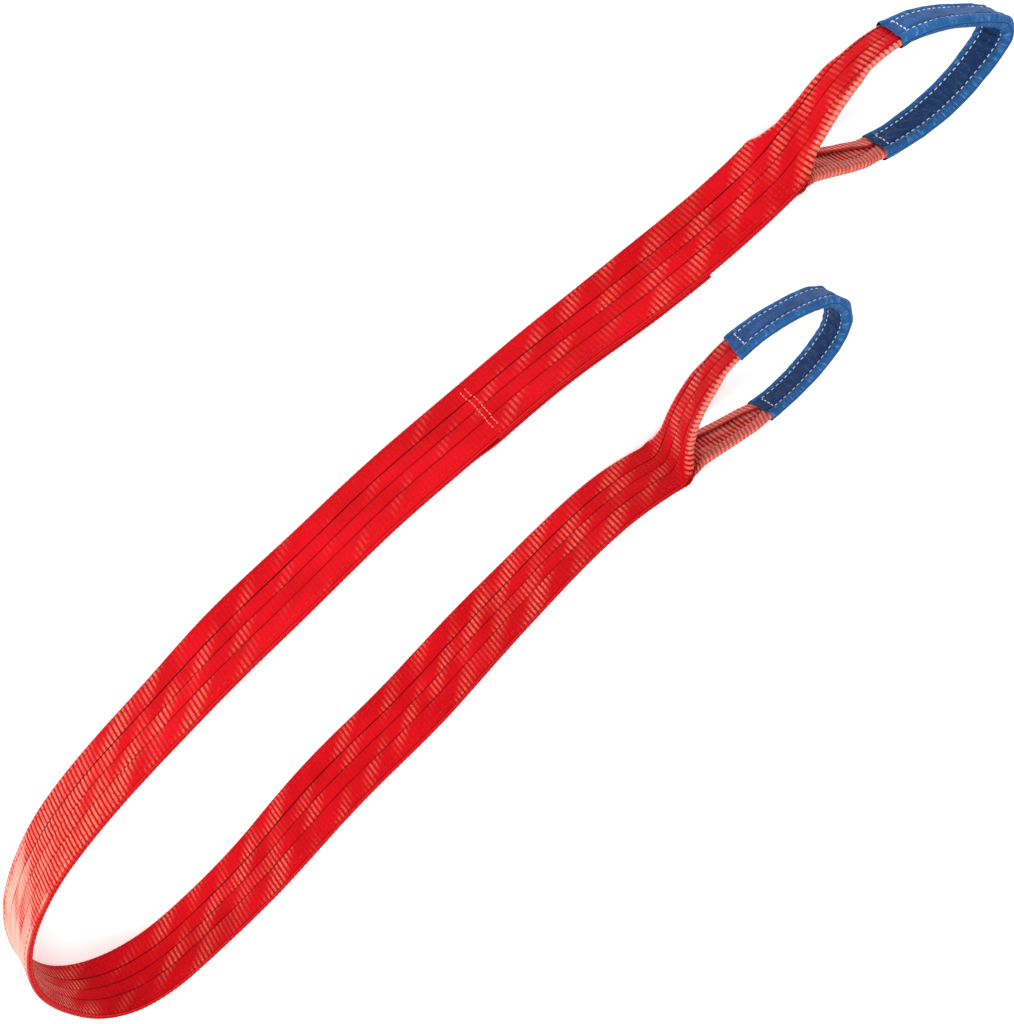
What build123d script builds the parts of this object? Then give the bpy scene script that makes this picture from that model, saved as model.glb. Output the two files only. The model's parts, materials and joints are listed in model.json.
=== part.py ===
"""Two-ply flat web sling with folded, sleeved eyes, lying as a hairpin and standing on its long edge.

Plan lines are chains of tangent arcs in the XY plane, and every length of web is a band that follows
such a line, so the joint lines are vertical. +X points to the hairpin's bend, +Y from the near leg to
the far leg, and +Z is up, across the web. The origin is at the middle of the sling's footprint.
"""
from build123d import *
import os
from math import atan2, cos, hypot, pi, radians, sin

# ---- driving dimensions, in millimetres and degrees ----
WEB_WIDTH = 90.0                # webbing, selvedge to selvedge
PLY = 3.4                       # thickness of one ply
FLEX_GAP = 2.6                  # clear gap between two lengths of web at a flex line

EYE_WIDTH = 47.0                # web folded in at both edges, round an eye
EYE_TAPER = 90.0                # length in which the web narrows from the body into an eye
EYE_CLEARANCE = 5.0             # from an eye's hinge line to the first of its web

SLEEVE_WIDTH = 51.0
SLEEVE_WALL = 1.2
SLEEVE_AIR = 0.3                # between the sleeve and the web inside it
SLEEVE_ROW_INSET = 11.5         # stitch rows, in from the sleeve's long edges
SLEEVE_END_INSET = 10.0         # closing stitch row, in from the sleeve's ends

THREAD_WIDTH = 1.0
THREAD_HEIGHT = 0.5             # how far a sewn thread stands proud of the web
SIDE_SEAM_INSET = 8.0           # lengthwise seams, in from the selvedges
CROSS_SEAM_CLEAR = 1.5          # between a cross seam's end and the side seam

# the near root, where the plies part into the near eye, and the way the web leaves it
NEAR_ROOT = (-414.3, -138.2)
LEG_HEADING = 5.7

# the sewn body as it lies, from the near root to the far root: each rigid length's arcs, as length and
# turn to the left
BODY = [
    ("near_leg_a", [(130, -10.7), (130, -2.9), (130, 3.7)]), ("near_leg_b", [(140, 7.4), (140, -0.1)]),
    ("near_leg_c", [(140, 3.2), (140, 10.7)]), ("bend_1", [(109, 23.9)]), ("bend_2", [(104, 29.2)]),
    ("bend_3", [(68, 26.2)]), ("bend_4", [(45, 28.6)]), ("bend_5", [(45, 28.5)]), ("bend_6", [(54, 23.4)]),
    ("far_leg_c", [(158, 15.8), (159, -8.9)]), ("far_leg_b", [(130, 4.6), (130, -0.7)]),
    ("far_leg_a", [(89, -9.0), (91, -21.7)]),
]
# each eye, out along its front branch, round the tip and back: an arc that closes it follows
NEAR_EYE = {"heading": 191.7, "arcs": [(75, 10.6), (157, -63.8), (72, -5.3), (41, -108.5), (216, -64.9)]}
FAR_EYE = {"heading": 213.2, "arcs": [(40, 16.6), (136, -57.4), (86, -24.7), (93, -121.2), (129, -43.4)]}
SLEEVE_ENDS = {"near_eye": (170.0, 137.0), "far_eye": (154.0, 129.0)}    # from the root, each way

# the web's two ends are sewn into the near leg, where it is three plies thick
INNER_PLY_END = 117.0           # the inner ply stops here, on the outside of the stack
RETURN_PLY_END = 375.0          # the ply from the eye stops here, inside the stack
SPLICE_ROWS = [121.0, 127.0, 365.0, 371.0]
ROOT_ROWS = [8.0, 14.0, 20.0]   # from each root, the rows that take the eye's pull

SHORTEST_ARC = 0.01             # a cut leaves nothing shorter


class Arc:
    """A tangent arc of a plan line, from a point and a heading, turning left where turn is positive."""

    def __init__(self, x, y, heading, length, turn):
        self.x, self.y, self.heading, self.length, self.turn = x, y, heading, length, turn

    def at(self, s, offset=0.0):
        """The point s along the arc, offset to its left."""
        rate = self.turn / self.length
        a = self.heading + rate * s
        x = self.x + (sin(a) - sin(self.heading)) / rate
        y = self.y - (cos(a) - cos(self.heading)) / rate
        return x - offset * sin(a), y + offset * cos(a)

    def stretch(self, s0, s1):
        rate = self.turn / self.length
        return Arc(*self.at(s0), self.heading + rate * s0, s1 - s0, rate * (s1 - s0))


def chain(start, heading, runs):
    """Tangent arcs one after the other, from (length, turn in degrees) runs."""
    arcs = []
    heading = radians(heading)
    for length, turn in runs:
        arcs.append(Arc(*start, heading, length, radians(turn)))
        start = arcs[-1].at(length)
        heading += radians(turn)
    return arcs


def closed(arcs, root):
    """A chain with one more tangent arc, back to its root."""
    last = arcs[-1]
    x, y = last.at(last.length)
    heading = last.heading + last.turn
    half_turn = (atan2(root[1] - y, root[0] - x) - heading + pi) % (2 * pi) - pi
    length = hypot(root[0] - x, root[1] - y) * half_turn / sin(half_turn)
    return arcs + [Arc(x, y, heading, length, 2 * half_turn)]


def length_of(arcs):
    return sum(arc.length for arc in arcs)


def cut(arcs, s0, s1):
    """The stretch of a chain from s0 to s1 along it."""
    out, at = [], 0.0
    for arc in arcs:
        a, b = max(s0 - at, 0.0), min(s1 - at, arc.length)
        if b - a > SHORTEST_ARC:
            out.append(arc.stretch(a, b))
        at += arc.length
    return out


def side(arcs, offset):
    """One side of a band: its plan line's arcs, offset to their left."""
    return [ThreePointArc(arc.at(0, offset), arc.at(arc.length / 2, offset), arc.at(arc.length, offset))
            for arc in arcs]


def band(arcs, offsets, heights):
    """A solid that follows a plan line, between two offsets to its left and two heights."""
    first, last = arcs[0], arcs[-1]
    start = Line(first.at(0, offsets[0]), first.at(0, offsets[1]))
    end = Line(last.at(last.length, offsets[0]), last.at(last.length, offsets[1]))
    outline = side(arcs, offsets[0]) + [end] + side(arcs, offsets[1]) + [start]
    return Pos(0, 0, heights[0]) * extrude(make_face(outline), heights[1] - heights[0])


def taper(arcs, from_start):
    """The space that the narrowing web may fill, on the chord of the first or last stretch of an eye."""
    total = length_of(arcs)
    s_wide, s_narrow = (0.0, EYE_TAPER) if from_start else (total, total - EYE_TAPER)
    wide, narrow = point_on(arcs, s_wide), point_on(arcs, s_narrow)
    reach = hypot(narrow[0] - wide[0], narrow[1] - wide[1])
    fold = (WEB_WIDTH - EYE_WIDTH) / 2
    profile = Polyline((0, 0), (reach, fold), (reach * 2, fold), (reach * 2, WEB_WIDTH - fold),
                       (reach, WEB_WIDTH - fold), (0, WEB_WIDTH), close=True)
    along = Vector(narrow[0] - wide[0], narrow[1] - wide[1], 0).normalized()
    plane = Plane(origin=(*wide, 0), x_dir=along, z_dir=along.cross(Vector(0, 0, 1)))
    return extrude(plane * make_face(profile), EYE_TAPER / 2, both=True)


def point_on(arcs, s):
    """The point s along a chain."""
    for arc in arcs:
        if s <= arc.length:
            return arc.at(s)
        s -= arc.length
    return arcs[-1].at(arcs[-1].length)


def middle(width):
    """The heights of something of this width, centred on the web."""
    return (WEB_WIDTH - width) / 2, (WEB_WIDTH + width) / 2


def side_seams(arcs, low_face, high_face):
    """Threads along both selvedges, on both faces of a stack of plies."""
    rows = []
    for z in (SIDE_SEAM_INSET, WEB_WIDTH - SIDE_SEAM_INSET):
        heights = (z - THREAD_WIDTH / 2, z + THREAD_WIDTH / 2)
        rows.append(band(arcs, (low_face - THREAD_HEIGHT, low_face), heights))
        rows.append(band(arcs, (high_face, high_face + THREAD_HEIGHT), heights))
    return rows


def cross_seams(arcs, places, low_face, high_face):
    """Threads across the web, on both faces of a stack of plies."""
    reach = WEB_WIDTH - 2 * (SIDE_SEAM_INSET + THREAD_WIDTH / 2 + CROSS_SEAM_CLEAR)
    rows = []
    for s in places:
        here = cut(arcs, s - THREAD_WIDTH / 2, s + THREAD_WIDTH / 2)
        rows.append(band(here, (low_face - THREAD_HEIGHT, low_face), middle(reach)))
        rows.append(band(here, (high_face, high_face + THREAD_HEIGHT), middle(reach)))
    return rows


def sewn_body(line):
    """The plies and side seams of each rigid length of the sewn body."""
    nodes, at = {}, 0.0
    for name, runs in BODY:
        length = sum(run for run, _ in runs)
        s0, s1 = at + FLEX_GAP / 2, at + length - FLEX_GAP / 2
        arcs = cut(line, s0, s1)
        nodes[f"{name}_outer_ply"] = band(arcs, (-PLY, 0), (0, WEB_WIDTH))
        if name == "near_leg_a":
            before, after = cut(line, s0, INNER_PLY_END), cut(line, INNER_PLY_END, s1)
            nodes[f"{name}_return_ply"] = band(cut(line, s0, RETURN_PLY_END), (0, PLY), (0, WEB_WIDTH))
            nodes[f"{name}_inner_ply_end"] = band(after, (PLY, 2 * PLY), (0, WEB_WIDTH))
            nodes[f"{name}_side_seams"] = side_seams(after, -PLY, 2 * PLY) + side_seams(before, -PLY, PLY)
        else:
            nodes[f"{name}_inner_ply"] = band(arcs, (0, PLY), (0, WEB_WIDTH))
            nodes[f"{name}_side_seams"] = side_seams(arcs, -PLY, PLY)
        at += length
    nodes["splice_seams"] = cross_seams(line, SPLICE_ROWS, -PLY, 2 * PLY)
    nodes["near_root_seams"] = cross_seams(line, ROOT_ROWS, -PLY, PLY)
    nodes["far_root_seams"] = cross_seams(line, [at - s for s in ROOT_ROWS], -PLY, PLY)
    return nodes


def eye(name, loop):
    """The folded web of an eye, the sleeve round it and the sleeve's stitching."""
    total = length_of(loop)
    web = band(cut(loop, EYE_TAPER, total - EYE_TAPER), (-PLY, PLY), middle(EYE_WIDTH))
    for s0, s1 in ((EYE_CLEARANCE, EYE_TAPER), (total - EYE_TAPER, total - EYE_CLEARANCE)):
        web += band(cut(loop, s0, s1), (0, PLY), (0, WEB_WIDTH)) & taper(loop, s0 == EYE_CLEARANCE)

    front, back = SLEEVE_ENDS[name]
    covered = cut(loop, front, total - back)
    hollow = PLY + SLEEVE_AIR
    face = hollow + SLEEVE_WALL
    sleeve = band(covered, (-face, face), middle(SLEEVE_WIDTH))
    sleeve -= band(covered, (-hollow, hollow), middle(EYE_WIDTH + 2 * SLEEVE_AIR))

    row_span = SLEEVE_WIDTH - 2 * SLEEVE_ROW_INSET
    s0, s1 = front + SLEEVE_END_INSET, total - back - SLEEVE_END_INSET
    stitches = []
    for low, high in ((-face - THREAD_HEIGHT, -face), (face, face + THREAD_HEIGHT)):
        for z in middle(row_span):
            heights = (z - THREAD_WIDTH / 2, z + THREAD_WIDTH / 2)
            stitches.append(band(cut(loop, s0, s1), (low, high), heights))
        for s in (s0, s1):
            here = cut(loop, s - THREAD_WIDTH / 2, s + THREAD_WIDTH / 2)
            stitches.append(band(here, (low, high), middle(row_span - 3 * THREAD_WIDTH)))
    return {f"{name}_web": web, f"{name}_sleeve": sleeve, f"{name}_sleeve_stitches": stitches}


def main():
    line = chain(NEAR_ROOT, LEG_HEADING, [run for _, runs in BODY for run in runs])
    far_root = line[-1].at(line[-1].length)
    eyes = {}
    for name, root, plan in (("near_eye", NEAR_ROOT, NEAR_EYE), ("far_eye", far_root, FAR_EYE)):
        eyes[name] = closed(chain(root, plan["heading"], plan["arcs"]), root)

    nodes = sewn_body(line)
    for name, loop in eyes.items():
        nodes.update(eye(name, loop))

    os.makedirs("parts", exist_ok=True)
    solids = []
    for name, shape in nodes.items():
        if isinstance(shape, list):
            shape = Compound(children=[solid for thread in shape for solid in thread.solids()])
        export_step(shape, f"parts/{name}.step")
        solids += shape.solids()

    box = Compound(children=solids).bounding_box()
    print("box", box.min, box.max)
    at = 0.0
    for name, runs in BODY:
        print("joint before", name, [round(v, 3) for v in point_on(line, at)])
        at += sum(run for run, _ in runs)
    print("joint before far_eye", [round(v, 3) for v in far_root])
    for name, loop in eyes.items():
        print(name, "inside length", round(length_of(loop) / 2, 1))
    print("bearing to bearing", round(length_of(line) + sum(length_of(e) for e in eyes.values()) / 2, 1))


main()
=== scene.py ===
"""The looks of the two-ply flat web sling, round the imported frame.

The web is one continuous strip, 90 mm wide. It starts as the inner ply's end on the near leg, goes along
the inside of the hairpin to the far eye, round it, back along the outside as the outer ply, round the near
eye, and ends between the plies of the near leg. Every point of it is placed from three numbers: u, how far
along the strip, v, how far from its middle line, and d, how far from its middle surface. Lengths are in
millimetres here, and turn into metres where a mesh is made.
"""
import bpy
import json
import numpy as np
from math import atan2, cos, hypot, pi, radians, sin
from mathutils import Matrix, Vector


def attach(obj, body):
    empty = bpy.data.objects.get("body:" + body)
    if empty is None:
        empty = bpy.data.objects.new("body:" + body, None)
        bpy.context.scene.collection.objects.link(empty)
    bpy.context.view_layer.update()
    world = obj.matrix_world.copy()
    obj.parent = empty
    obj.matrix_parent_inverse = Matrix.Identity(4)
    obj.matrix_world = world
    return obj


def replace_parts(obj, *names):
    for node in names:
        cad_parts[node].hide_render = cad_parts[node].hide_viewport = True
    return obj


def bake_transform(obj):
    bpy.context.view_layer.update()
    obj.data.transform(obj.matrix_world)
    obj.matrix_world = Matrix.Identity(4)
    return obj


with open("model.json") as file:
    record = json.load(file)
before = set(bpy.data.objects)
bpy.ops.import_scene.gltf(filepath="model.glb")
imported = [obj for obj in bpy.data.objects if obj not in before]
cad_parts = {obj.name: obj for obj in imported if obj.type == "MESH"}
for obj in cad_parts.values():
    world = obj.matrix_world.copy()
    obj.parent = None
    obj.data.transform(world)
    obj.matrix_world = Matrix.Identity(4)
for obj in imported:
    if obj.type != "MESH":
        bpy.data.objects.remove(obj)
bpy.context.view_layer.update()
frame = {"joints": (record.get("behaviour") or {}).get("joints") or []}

MM = 0.001

# ---- the sling's sizes, as in the CAD model ----
WEB_WIDTH = 90.0
PLY = 3.4
SLEEVE_WIDTH = 51.0
SLEEVE_FACE = 4.9               # from the eye's plan line to the sleeve's outside
SLEEVE_WALL = 1.2
LEG_HEADING = 5.7
BODY = [
    ("near_leg_a", [(130, -10.7), (130, -2.9), (130, 3.7)]), ("near_leg_b", [(140, 7.4), (140, -0.1)]),
    ("near_leg_c", [(140, 3.2), (140, 10.7)]), ("bend_1", [(109, 23.9)]), ("bend_2", [(104, 29.2)]),
    ("bend_3", [(68, 26.2)]), ("bend_4", [(45, 28.6)]), ("bend_5", [(45, 28.5)]), ("bend_6", [(54, 23.4)]),
    ("far_leg_c", [(158, 15.8), (159, -8.9)]), ("far_leg_b", [(130, 4.6), (130, -0.7)]),
    ("far_leg_a", [(89, -9.0), (91, -21.7)]),
]
NEAR_EYE = {"heading": 191.7, "arcs": [(75, 10.6), (157, -63.8), (72, -5.3), (41, -108.5), (216, -64.9)]}
FAR_EYE = {"heading": 213.2, "arcs": [(40, 16.6), (136, -57.4), (86, -24.7), (93, -121.2), (129, -43.4)]}
SLEEVE_ENDS = {"near_eye": (170.0, 137.0), "far_eye": (154.0, 129.0)}
INNER_PLY_END = 117.0
RETURN_PLY_END = 375.0
SPLICE_ROWS = [121.0, 127.0, 365.0, 371.0]       # along the body, from the near root
ROOT_ROWS = [8.0, 14.0, 20.0]                    # from either root

# ---- what only the looks have ----
RIB = 5.3                       # from one weft rib of the weave to the next
RIB_DEPTH = (0.22, 0.58)        # where the web is pressed smooth, and where it is boldest
RIB_ROWS = [0.0, 0.12, 0.3, 0.5, 0.7, 0.88]      # rows of points in a rib, as parts of it
MARKER_GAP = 18.0
MARKER_LINES = [-MARKER_GAP, 0.0, MARKER_GAP]    # dark yarns along the web, from its middle
MARKER_WIDTH = 1.1
MARKER_DEPTH = 0.5
BAND_BULGE = 0.5                # how far the web swells between two marker lines
SEAM_AT = 37.0                  # the side seams, from the web's middle line
SEAM_DEPTH = 0.45
SEAM_WIDTH = 1.3
SEAM_FADE = 15.0                # the length of an eye over which the seams' dents end
FOLD = 25.0                     # how much of each edge is turned in round an eye
TURN_IN_AT = [0.0, 15.0, 35.0, 60.0, 90.0, 110.0, 126.0, 160.0]     # into the eye
TURN_IN = [0.0, 0.45, 0.72, 0.77, 0.79, 0.84, 0.97, 1.0]
FOLD_RADIUS = (6.0, 1.8)        # of the turned edge's middle surface, at the root and at the tip
WAVE_FADE = 60.0                # the length of an eye over which the body's waves end
LEAN_AT = np.linspace(0, 1, 13)          # parts of the body's length
LEAN = [3, 5, 9, 7, 9, 12, 13, 11, 9, 6, 3, 11, 27]       # top against bottom, towards -Y
EYE_LEAN = {"near_eye": 24.0, "far_eye": 44.0}
EYE_LEAN_EASE = 100.0           # the length of an eye over which it comes to that
TIP_LEAN = 14.0                 # the same towards -X, at the hairpin's tip
TIP_AT = 1235.0
TIP_REACH = 70.0
# how boldly the ribs stand out, and so how strong the painted highlights on their crests and the painted
# shade in their grooves are, along the body and in the eyes: 0 is pressed smooth, 1 is full
RELIEF_AT = [0, 60, 150, 260, 420, 560, 700, 820, 950, 1100, 1290, 1400, 1520, 1620, 1760, 1900, 2060, 2140]
RELIEF = [0.25, 0.25, 0.3, 0.18, 0.0, 0.0, 0.18, 0.42, 0.8, 1.0, 0.9, 0.35, 0.4, 0.15, 0.2, 0.4, 0.3, 0.2]
FRONT_BRANCH_RELIEF = 0.35
BACK_BRANCH_RELIEF = 0.9
BRANCH_EASE = 50.0
PATCH_RELIEF = 0.38             # how much more or less the ribs stand out, with their painted highlights, from patch to patch
ROLLED_RELIEF = 1.6             # where an edge is turned in, which gets a painted highlight on its crests
ROLLED_PALE = 0.28              # and how far past 1 it goes, into the pale painted highlight
ROLL_BEFORE = 2.5
ROLL_EASE = 4.0
PALE_BEND_AT = 1135.0           # the outside of the bend, where the ribs get a pale painted highlight
PALE_BEND_REACH = 120.0
PALE_BEND = 1.0
PALE_BACK = 0.24                # the same pale painted highlight on the eyes' back branches, which lie in shade
PALE_BACK_EASE = 40.0
CALM_AT = 1300.0                # the inside of the bend, which is smooth
CALM_REACH = 75.0
CALM = 0.95
FLAP_SKEW = 0.3                 # how far a rib leans on a turned edge
THIRD_LAYER_LIFT = 0.7          # the swell of the ply that lies under the inner ply's end
LIFT_END = 2.0                  # the inner ply comes down so far past it
LIFT_EASE = 30.0
SMOOTHING = 7.0                 # of the plan line, where two arcs meet
ROW_AT = 14.0                   # a sleeve's stitch rows, from its middle line
OTHER_FACE = 70.0               # added across the cloth's pattern on the sleeve's inner face
WHITE = (1.0, 1.0, 1.0, 1.0)


# ---- plan lines: points a millimetre apart ----
def walk(start, heading, runs):
    """Points along tangent arcs, from (length, turn in degrees) runs."""
    points, at, angle = [np.array(start, float)], np.array(start, float), radians(heading)
    for length, turn in runs:
        steps = round(length)
        rate = radians(turn) / steps
        for _ in range(steps):
            middle = angle + rate / 2
            at = at + length / steps * np.array([cos(middle), sin(middle)])
            angle += rate
            points.append(at)
    return np.array(points)


def closing_run(points, heading, turned, root):
    """The tangent arc that takes an eye's line back to its root."""
    gap = root - points[-1]
    half_turn = (atan2(gap[1], gap[0]) - radians(heading + turned) + pi) % (2 * pi) - pi
    length = hypot(*gap) * half_turn / sin(half_turn)
    return length, np.degrees(2 * half_turn)


def left_of(points):
    """Unit vectors to the left of a line, at each of its points."""
    along = np.gradient(points, axis=0)
    along /= np.linalg.norm(along, axis=1)[:, None]
    return np.stack([-along[:, 1], along[:, 0]], axis=1)


def ease(t):
    """From 0 to 1 as t does, without a corner at either end."""
    t = np.clip(t, 0.0, 1.0)
    return t * t * (3 - 2 * t)


def smoothed(points, width):
    """A line with its corners rounded, by a bell of this width in millimetres."""
    reach = int(3 * width)
    bell = np.exp(-0.5 * (np.arange(-reach, reach + 1) / width) ** 2)
    padded = np.pad(points, ((reach, reach), (0, 0)), mode="reflect", reflect_type="odd")
    return np.stack([np.convolve(padded[:, i], bell / bell.sum(), "valid") for i in (0, 1)], axis=1)


def joint_at(name):
    """Where a joint's axis stands in the plan."""
    joint = next(j for j in frame["joints"] if j["name"] == name)
    return np.array(joint["pos_m"][:2]) / MM


NEAR_ROOT = joint_at("near_eye_swing")
FAR_ROOT = joint_at("far_eye_swing")
BODY_RUNS = [run for _, runs in BODY for run in runs]
BODY_LENGTH = int(sum(length for length, _ in BODY_RUNS))
body_line = walk(NEAR_ROOT, LEG_HEADING, BODY_RUNS)
body_left = left_of(body_line)

eye_lines = {}
for eye_name, eye_root, plan in (("near_eye", NEAR_ROOT, NEAR_EYE), ("far_eye", FAR_ROOT, FAR_EYE)):
    open_line = walk(eye_root, plan["heading"], plan["arcs"])
    turned = sum(turn for _, turn in plan["arcs"])
    closing = closing_run(open_line, plan["heading"], turned, eye_root)
    eye_lines[eye_name] = walk(eye_root, plan["heading"], plan["arcs"] + [closing])


# ---- the strip ----
class Strip:
    """The web's whole length, as its middle line in plan, with what the web does at each millimetre."""

    def __init__(self):
        self.points, self.side, self.body_s, self.depth, self.start = [], [], [], [], {}
        body_s = np.arange(BODY_LENGTH + 1.0)
        first = int(INNER_PLY_END)
        lift = (PLY + THIRD_LAYER_LIFT) * (1 - ease((body_s - RETURN_PLY_END - LIFT_END) / LIFT_EASE))
        self.add("inner", body_line[first:], (PLY / 2 + lift)[first:], body_s[first:], 1)
        self.add_eye("far_eye", BODY_LENGTH)
        self.add("outer", body_line[::-1], PLY / 2, body_s[::-1], -1)
        self.add_eye("near_eye", 0)
        last = int(RETURN_PLY_END) + 1
        self.add("return", body_line[:last], PLY / 2, body_s[:last], 1)
        self.points = smoothed(np.concatenate(self.points), SMOOTHING)
        self.left = left_of(self.points)
        self.side = smoothed(np.stack([np.concatenate(self.side)] * 2, axis=1), SMOOTHING)[:, 0]
        self.body_s = np.concatenate(self.body_s)
        self.depth = np.concatenate(self.depth)
        self.u = np.arange(len(self.points), dtype=float)

    def add(self, name, line, offset, body_s, side):
        """One stretch of the strip along the body, offset to the left of a line that it follows."""
        self.start[name] = sum(len(p) for p in self.points)
        self.points.append(line + left_of(line) * np.broadcast_to(offset, len(line))[:, None])
        self.side.append(np.broadcast_to(float(side), len(line)))
        self.body_s.append(np.broadcast_to(body_s, len(line)))
        self.depth.append(np.zeros(len(line)))

    def add_eye(self, name, body_s):
        """The stretch round an eye, which crosses from one side of the body to the other."""
        line = eye_lines[name]
        q = np.arange(len(line), dtype=float)
        depth = np.minimum(q, len(line) - 1 - q)
        side = np.interp(q, [0, len(line) - 1], [1, -1] if name == "far_eye" else [-1, 1])
        self.start[name] = sum(len(p) for p in self.points)
        self.points.append(line + left_of(line) * PLY / 2)
        self.side.append(side)
        self.body_s.append(np.full(len(line), float(body_s)))
        self.depth.append(depth)

    def at_body(self, layer, s):
        """The place on the strip of a place on the body, in one of its layers."""
        if layer == "inner":
            return self.start["inner"] + s - INNER_PLY_END
        if layer == "outer":
            return self.start["outer"] + BODY_LENGTH - s
        return self.start["return"] + s

    def at_eye(self, name, q):
        """The place on the strip q along an eye, from the root or, where negative, back from its end."""
        return self.start[name] + (q if q >= 0 else len(eye_lines[name]) - 1 + q)


def wave(s, z):
    """How far the web stands off its plan line, to the left of the body, at a height from its middle."""
    # each term has its size, its length over 2 pi, and its phase
    swing = 0.9 * np.sin(s / 61.0 + 0.8) + 0.7 * np.sin(s / 33.0 + 2.1)
    twist = 0.030 * np.sin(s / 97.0 + 0.5) + 0.018 * np.sin(s / 41.0 + 4.0)
    cup = 0.0006 * np.sin(s / 73.0 + 1.7)
    return swing + twist * z + cup * z * z


def lean(body_s, depth, z):
    """How far the web leans towards -Y there, by height from its middle."""
    legs = np.interp(body_s / BODY_LENGTH, LEAN_AT, LEAN)
    eye = np.where(body_s < BODY_LENGTH / 2, EYE_LEAN["near_eye"], EYE_LEAN["far_eye"])
    return -(legs + (eye - legs) * ease(depth / EYE_LEAN_EASE)) * z / WEB_WIDTH


strip = Strip()


def band_of(v):
    """Which of the four bands between the marker lines v lies in."""
    return np.searchsorted(MARKER_LINES, v)


def rib_shift(u, v):
    """How far a rib wanders along the web, in two waves that differ from band to band."""
    band = band_of(v)
    return 0.5 * np.sin(u / 37.0 + 1.9 * band) + 0.35 * np.sin(u / 11.3 + 4.1 * band)


def swell(v):
    """The bulge of the face between two marker lines."""
    lines = [-WEB_WIDTH / 2] + MARKER_LINES + [WEB_WIDTH / 2]
    part = np.interp(v, lines, range(len(lines)))
    return BAND_BULGE * np.abs(np.sin(pi * part))


def place(u, v, d):
    """The point, in millimetres, of each u, v and d on the strip."""
    u, v, d = np.broadcast_arrays(np.asarray(u, float), np.asarray(v, float), np.asarray(d, float))
    depth = np.interp(u, strip.u, strip.depth)
    turned_in = np.interp(depth, TURN_IN_AT, TURN_IN)
    fold = FOLD * turned_in
    radius = FOLD_RADIUS[0] + (FOLD_RADIUS[1] - FOLD_RADIUS[0]) * turned_in
    flat = WEB_WIDTH / 2 - fold
    sign = np.where(v < 0, -1.0, 1.0)
    past = np.maximum(np.abs(v) - flat, 0.0)
    angle = np.minimum(past / radius, pi)
    back = np.maximum(past - pi * radius, 0.0)
    z = sign * (np.minimum(np.abs(v), flat) + radius * np.sin(angle) - back + d * np.sin(angle))
    off = -radius * (1 - np.cos(angle)) + d * np.cos(angle)
    along = u + rib_shift(u, v) + FLAP_SKEW * past * turned_in * np.where(depth > 0, 1.0, 0.0) * flap_lead(u)
    x, y = (np.interp(along, strip.u, strip.points[:, i]) for i in (0, 1))
    left_x, left_y = (np.interp(along, strip.u, strip.left[:, i]) for i in (0, 1))
    body_s = np.interp(u, strip.u, strip.body_s)
    side = np.interp(u, strip.u, strip.side)
    off = off + side * wave(body_s, z) * (1 - ease(depth / WAVE_FADE))
    x, y = x + off * left_x, y + off * left_y
    x = x - TIP_LEAN * np.exp(-((body_s - TIP_AT) / TIP_REACH) ** 2) * z / WEB_WIDTH
    return np.stack([x, y + lean(body_s, depth, z), WEB_WIDTH / 2 + z], axis=-1)


def flap_lead(u):
    """1 on an eye's first half and -1 on its second, so that ribs lean the same way about its tip."""
    lead = np.zeros_like(u)
    for name, line in eye_lines.items():
        q = u - strip.start[name]
        lead += np.where((q > 0) & (q < len(line)), np.sign(len(line) / 2 - q), 0.0)
    return lead


# ---- meshes from rings of points ----
def as_piece(name, mesh, weave, material):
    """The object of a mesh, shaded smooth, with its weave coordinates and its material."""
    mesh.polygons.foreach_set("use_smooth", np.ones(len(mesh.polygons), bool))
    coordinates = mesh.attributes.new("weave", "FLOAT_VECTOR", "POINT")
    coordinates.data.foreach_set("vector", weave.astype(np.float32).ravel())
    mesh.materials.append(material)
    piece = bpy.data.objects.new(name, mesh)
    bpy.context.collection.objects.link(piece)
    return piece


def ring_object(name, points, weave, material):
    """A tube through rings of points, (rings, points in a ring, xyz), in millimetres, closed at its ends."""
    rings, around = points.shape[:2]
    index = np.arange(rings * around).reshape(rings, around)
    after = np.roll(index, -1, axis=1)
    quads = np.stack([index[:-1], after[:-1], after[1:], index[1:]], axis=-1).reshape(-1, 4)
    sizes = [4] * len(quads) + [around, around]
    corners = np.concatenate([quads.ravel(), index[0, ::-1], index[-1]])
    mesh = bpy.data.meshes.new(name)
    mesh.vertices.add(rings * around)
    mesh.vertices.foreach_set("co", (points * MM).astype(np.float32).ravel())
    mesh.loops.add(len(corners))
    mesh.loops.foreach_set("vertex_index", corners.astype(np.int32))
    mesh.polygons.add(len(sizes))
    starts = np.concatenate([[0], np.cumsum(sizes)[:-1]])
    mesh.polygons.foreach_set("loop_start", starts.astype(np.int32))
    mesh.update(calc_edges=True)
    mark_end_edges(mesh, rings, around)
    piece = as_piece(name, mesh, weave, material)
    mesh.validate()
    return piece


def mark_end_edges(mesh, rings, around):
    """Sharp edges round both end faces, so that they don't darken the rings beside them."""
    edges = np.zeros(len(mesh.edges) * 2, np.int32)
    mesh.edges.foreach_get("vertices", edges)
    ring = edges.reshape(-1, 2) // around
    sharp = (ring[:, 0] == ring[:, 1]) & ((ring[:, 0] == 0) | (ring[:, 0] == rings - 1))
    flag = mesh.attributes.new("sharp_edge", "BOOLEAN", "EDGE")
    flag.data.foreach_set("value", sharp)


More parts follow.
